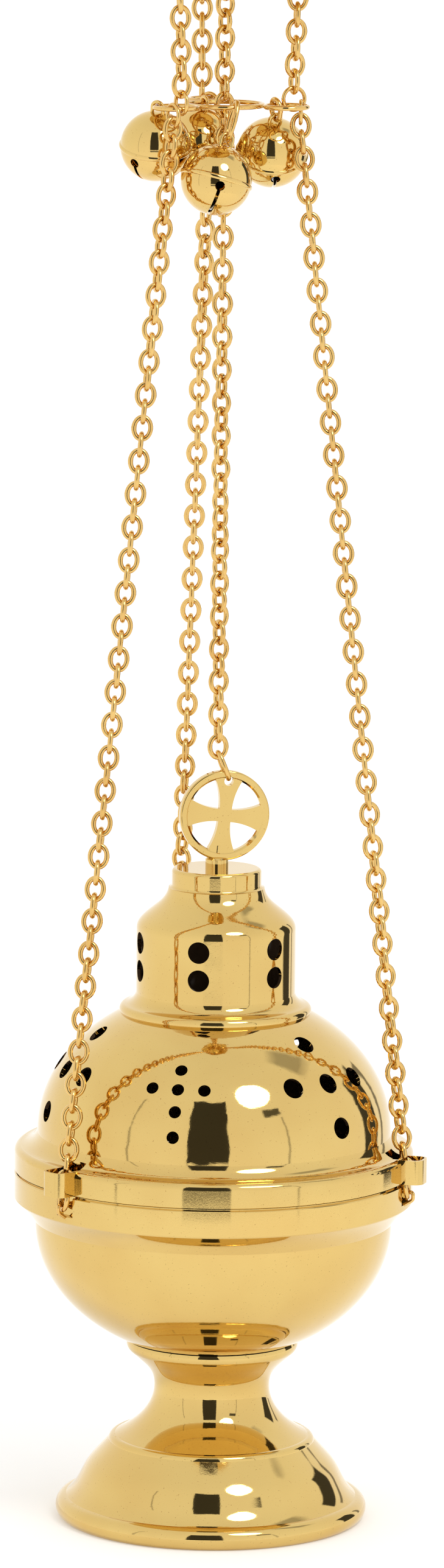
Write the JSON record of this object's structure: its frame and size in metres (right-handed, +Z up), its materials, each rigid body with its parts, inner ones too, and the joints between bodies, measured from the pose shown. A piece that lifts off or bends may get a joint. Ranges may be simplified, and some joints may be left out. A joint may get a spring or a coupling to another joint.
{
  "type": "thurible",
  "caption": "Hanging censer with a footed bowl, a pierced domed lid that slides up its chains to a wheel cross, a ring gatherer with jingle bells, and a hand plate.",
  "frame": {"origin": "centre of the hand plate's top face, where a hand or a hook carries it", "axes": "+Z up along the centre chain, -Y to the front; the foot hangs towards -Z"},
  "size_m": [0.1325, 0.1338, 0.5147],
  "materials": {
    "gold_body": "polished",
    "gold_chain": "polished",
    "gold_bell": "polished",
    "plain_fastener": "machined",
    "pan_metal": "heat-stained",
    "steel_pellet": "smooth"
  },
  "bodies": {
    "base": {"foot": "gold_body", "foot_bolt": "plain_fastener", "foot_nut": "plain_fastener", "bowl": "gold_body", "bowl_band": "gold_body", "chain_eyes": "gold_chain", "gatherer_ring_centre": "gold_chain", "gatherer_ring_left": "gold_chain", "gatherer_ring_right": "gold_chain", "gatherer_ring_back": "gold_chain", "gatherer_loops": "gold_chain", "hanger_chain_left": "gold_chain", "hanger_chain_right": "gold_chain", "hanger_chain_back": "gold_chain", "hand_plate": "gold_body", "plate_ferrule": "gold_body", "plate_eyes": "gold_chain", "plate_nuts": "gold_body"},
    "lid": {"lid_dome": "gold_body", "lid_band": "gold_body", "lid_lip": "gold_body", "lid_guide_left": "gold_body", "lid_guide_right": "gold_body", "lid_guide_back": "gold_body", "tower_ring": "gold_body", "tower": "gold_body", "tower_cap": "gold_body", "finial_stem": "gold_body", "finial_nut": "plain_fastener", "finial_cross": "gold_body", "finial_link": "gold_chain", "centre_chain": "gold_chain"},
    "coal_pan": {"coal_pan": "pan_metal"},
    "pull_ring": {"pull_ring": "gold_chain"},
    "chain_left_lower": {"chain_left_lower": "gold_chain"},
    "chain_left_upper": {"chain_left_upper": "gold_chain"},
    "chain_right_lower": {"chain_right_lower": "gold_chain"},
    "chain_right_upper": {"chain_right_upper": "gold_chain"},
    "chain_back_lower": {"chain_back_lower": "gold_chain"},
    "chain_back_upper": {"chain_back_upper": "gold_chain"},
    "bell_left": {"bell_left_crown": "gold_bell", "bell_left_mouth": "gold_bell"},
    "bell_left_pellet": {"bell_left_pellet": "steel_pellet"},
    "bell_right": {"bell_right_crown": "gold_bell", "bell_right_link": "gold_chain", "bell_right_mouth": "gold_bell"},
    "bell_right_pellet": {"bell_right_pellet": "steel_pellet"},
    "bell_back": {"bell_back_crown": "gold_bell", "bell_back_mouth": "gold_bell"},
    "bell_back_pellet": {"bell_back_pellet": "steel_pellet"},
    "bell_front": {"bell_front_crown": "gold_bell", "bell_front_link": "gold_chain", "bell_front_mouth": "gold_bell"},
    "bell_front_pellet": {"bell_front_pellet": "steel_pellet"}
  },
  "joints": [
    {"name": "lid_lift", "type": "slide", "parent": "base", "child": "lid", "axis": [0, 0, 1], "range_m": [0, 0.08]},
    {"name": "coal_pan_lift", "type": "slide", "parent": "base", "child": "coal_pan", "axis": [0, 0, 1], "range_m": [0, 0.015]},
    {"name": "pull_ring_tip", "type": "hinge", "parent": "lid", "child": "pull_ring", "pos_m": [0, 0, 0.00216], "axis": [0.6782, -0.7349, 0], "range_deg": [0, 90]},
    {"name": "chain_left_swing", "type": "hinge", "parent": "base", "child": "chain_left_lower", "pos_m": [-0.04773, -0.04405, -0.39837], "axis": [0.596, -0.803, 0], "range_deg": [0, 6.63]},
    {"name": "chain_left_fold", "type": "hinge", "parent": "chain_left_lower", "child": "chain_left_upper", "pos_m": [-0.03909, -0.03763, -0.30544], "axis": [0.596, -0.803, 0], "range_deg": [-9.12, 0]},
    {"name": "chain_right_swing", "type": "hinge", "parent": "base", "child": "chain_right_lower", "pos_m": [0.06201, -0.01931, -0.39837], "axis": [0.4313, 0.9022, 0], "range_deg": [0, 7.04]},
    {"name": "chain_right_fold", "type": "hinge", "parent": "chain_right_lower", "child": "chain_right_upper", "pos_m": [0.05169, -0.01438, -0.30545], "axis": [0.4313, 0.9022, 0], "range_deg": [-9.69, 0]},
    {"name": "chain_back_swing", "type": "hinge", "parent": "base", "child": "chain_back_lower", "pos_m": [-0.01428, 0.06336, -0.39837], "axis": [-0.9675, -0.253, 0], "range_deg": [0, 6.37]},
    {"name": "chain_back_fold", "type": "hinge", "parent": "chain_back_lower", "child": "chain_back_upper", "pos_m": [-0.01166, 0.05336, -0.30544], "axis": [-0.9675, -0.253, 0], "range_deg": [-8.76, 0]},
    {"name": "bell_left_swing", "type": "hinge", "parent": "base", "child": "bell_left", "pos_m": [-0.02093, -0.01065, -0.05207], "axis": [0.4848, 0.8746, 0], "range_deg": [0, 20]},
    {"name": "bell_left_pellet_roll", "type": "hinge", "parent": "bell_left", "child": "bell_left_pellet", "pos_m": [-0.0215, -0.0066, -0.06477], "axis": [1, 0, 0], "range_deg": [-50, 50]},
    {"name": "bell_right_swing", "type": "hinge", "parent": "base", "child": "bell_right", "pos_m": [0.0165, -0.00014, -0.05207], "axis": [0.9542, -0.299, 0], "range_deg": [0, 20]},
    {"name": "bell_right_pellet_roll", "type": "hinge", "parent": "bell_right", "child": "bell_right_pellet", "pos_m": [0.0153, 0.0096, -0.06779], "axis": [1, 0, 0], "range_deg": [-50, 50]},
    {"name": "bell_back_swing", "type": "hinge", "parent": "base", "child": "bell_back", "pos_m": [-0.00632, 0.01043, -0.05207], "axis": [0.342, 0.9397, 0], "range_deg": [0, 10]},
    {"name": "bell_back_pellet_roll", "type": "hinge", "parent": "bell_back", "child": "bell_back_pellet", "pos_m": [-0.0079, 0.0128, -0.06511], "axis": [1, 0, 0], "range_deg": [-50, 50]},
    {"name": "bell_front_swing", "type": "hinge", "parent": "base", "child": "bell_front", "pos_m": [0.00351, -0.01168, -0.05207], "axis": [-0.9578, -0.2874, 0], "range_deg": [0, 12]},
    {"name": "bell_front_pellet_roll", "type": "hinge", "parent": "bell_front", "child": "bell_front_pellet", "pos_m": [-0.0023, -0.016, -0.07442], "axis": [1, 0, 0], "range_deg": [-50, 50]}
  ],
  "couplings": [
    {"joint": "chain_left_swing", "follows": "lid_lift", "rad_per_m": 1.4413},
    {"joint": "chain_left_fold", "follows": "lid_lift", "rad_per_m": -1.9858},
    {"joint": "chain_right_swing", "follows": "lid_lift", "rad_per_m": 1.5308},
    {"joint": "chain_right_fold", "follows": "lid_lift", "rad_per_m": -2.1096},
    {"joint": "chain_back_swing", "follows": "lid_lift", "rad_per_m": 1.3847},
    {"joint": "chain_back_fold", "follows": "lid_lift", "rad_per_m": -1.9076}
  ]
}
